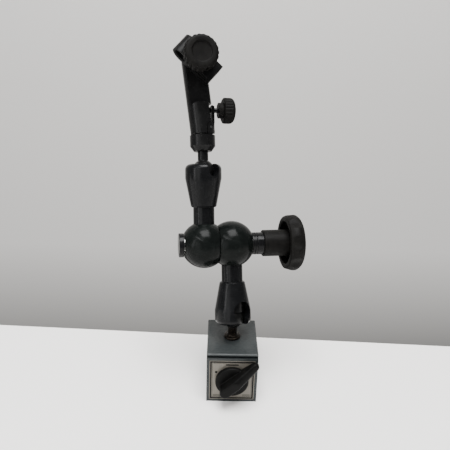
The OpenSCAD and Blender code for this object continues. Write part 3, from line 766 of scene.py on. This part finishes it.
def build_label_print():
    """The label's printed border and plain marks, raised a few hundredths."""
    low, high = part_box("label_plate")
    y0, y1 = low.y - 0.03 * MM, low.y + 0.05 * MM
    bm = bmesh.new()

    def border(inset, width):
        x0, x1 = low.x + inset * MM, high.x - inset * MM
        z0, z1 = low.z + inset * MM, high.z - inset * MM
        w = width * MM
        strip(bm, (x0, y0, z0), (x1, y1, z0 + w))
        strip(bm, (x0, y0, z1 - w), (x1, y1, z1))
        strip(bm, (x0, y0, z0 + w), (x0 + w, y1, z1 - w))
        strip(bm, (x1 - w, y0, z0 + w), (x1, y1, z1 - w))

    border(0.45, 0.95)
    border(1.75, 0.18)
    middle, top = (low.x + high.x) / 2, high.z - 2.5 * MM
    strip(bm, (middle - 4 * MM, y0, top - 0.9 * MM), (middle + 4 * MM, y1, top))
    for x in (low.x + 2.4 * MM, high.x - 7.4 * MM):
        for rise in (2.4, 3.3):
            z = low.z + rise * MM
            strip(bm, (x, y0, z), (x + 5 * MM, y1, z + 0.3 * MM))
    mark = Vector((low.x + 4.2 * MM, (y0 + y1) / 2, high.z - 8.6 * MM))
    bmesh.ops.create_cone(
        bm, cap_ends=True, segments=24, radius1=0.8 * MM, radius2=0.8 * MM, depth=y1 - y0,
        matrix=Matrix.Translation(mark) @ Matrix.Rotation(math.pi / 2, 4, "X"),
    )
    return add_piece("label_border", bm, "label_plate", [INK], smooth=False)


build_label_print()


# ---- stage, light and camera ----


def build_stage():
    """A pale floor that ends just behind the stand, and a pale wall far behind it."""
    reach, wall_y, wall_x = 3.0, 1.5, 9.0
    left, right = Vector((-0.1805, 0.0607, 0)), Vector((0.1686, 0.0428, 0))  # on the floor's edge
    along = (right - left).normalized() * reach
    ground = [(-reach, -reach, 0), (reach, -reach, 0), right + along, left - along]
    upright = [
        (-wall_x, wall_y, -2), (wall_x, wall_y, -2), (wall_x, wall_y, 3), (-wall_x, wall_y, 3)
    ]
    for name, corners, material in (
        ("floor", ground, stage_floor()), ("backdrop", upright, glowing_wall_with_painted_shade())
    ):
        mesh = bpy.data.meshes.new(name)
        mesh.from_pydata(corners, [], [(0, 1, 2, 3)])
        mesh.materials.append(material)
        sheet = bpy.data.objects.new(name, mesh)
        bpy.context.scene.collection.objects.link(sheet)


def area_light(name, place, target, size, power):
    data = bpy.data.lights.new(name, "AREA")
    data.shape = "RECTANGLE"
    data.size, data.size_y = size
    data.energy = power
    lamp = bpy.data.objects.new(name, data)
    lamp.location = place
    lamp.rotation_euler = (Vector(target) - Vector(place)).to_track_quat("-Z", "Y").to_euler()
    bpy.context.scene.collection.objects.link(lamp)


def build_light():
    """A soft room: a broad light overhead, two tubes, a window and a doorway, front left."""
    world = bpy.data.worlds.new("studio")
    world.use_nodes = True
    back = world.node_tree.nodes["Background"]
    back.inputs["Color"].default_value = (0.96, 0.97, 1.0, 1)
    back.inputs["Strength"].default_value = 0.42
    bpy.context.scene.world = world
    area_light("overhead", (0.1, -0.3, 2.2), (0, 0, 0.1), (1.3, 1.3), 120.0)
    for name, shift in (("tube_near", -0.12), ("tube_far", 0.14)):
        place = (-0.55 + shift, -0.70 - shift, 1.15)
        area_light(name, place, (0, 0, 0.1), (0.7, 0.07), 4.0)
    area_light("window", (-0.74, -1.14, 0.5), (0, 0, 0.12), (0.6, 0.8), 4.0)
    area_light("doorway", (-1.15, -0.75, 0.55), (0, 0, 0.12), (0.2, 0.9), 5.5)


def build_camera():
    """The camera stands 0.27 m in front and 0.22 m up, looks 22 degrees down and rolls a little."""
    place = Vector((-0.01110, -0.26829, 0.22452))
    pitch, yaw, roll = (math.radians(v) for v in (22.36, -0.95, 1.58))
    look = Matrix.Rotation(yaw, 3, "Z") @ Matrix.Rotation(-pitch, 3, "X")
    right, ahead, up = look.col[0], look.col[1], look.col[2]
    x = math.cos(roll) * right + math.sin(roll) * up
    y = math.cos(roll) * up - math.sin(roll) * right
    m = Matrix((x, y, -ahead)).transposed().to_4x4()
    m.translation = place
    data = bpy.data.cameras.new("camera")
    data.sensor_width = 36
    data.lens = 39.3312
    data.clip_start = 0.01
    camera = bpy.data.objects.new("camera", data)
    camera.matrix_world = m
    bpy.context.scene.collection.objects.link(camera)
    bpy.context.scene.camera = camera


build_stage()
build_light()
build_camera()
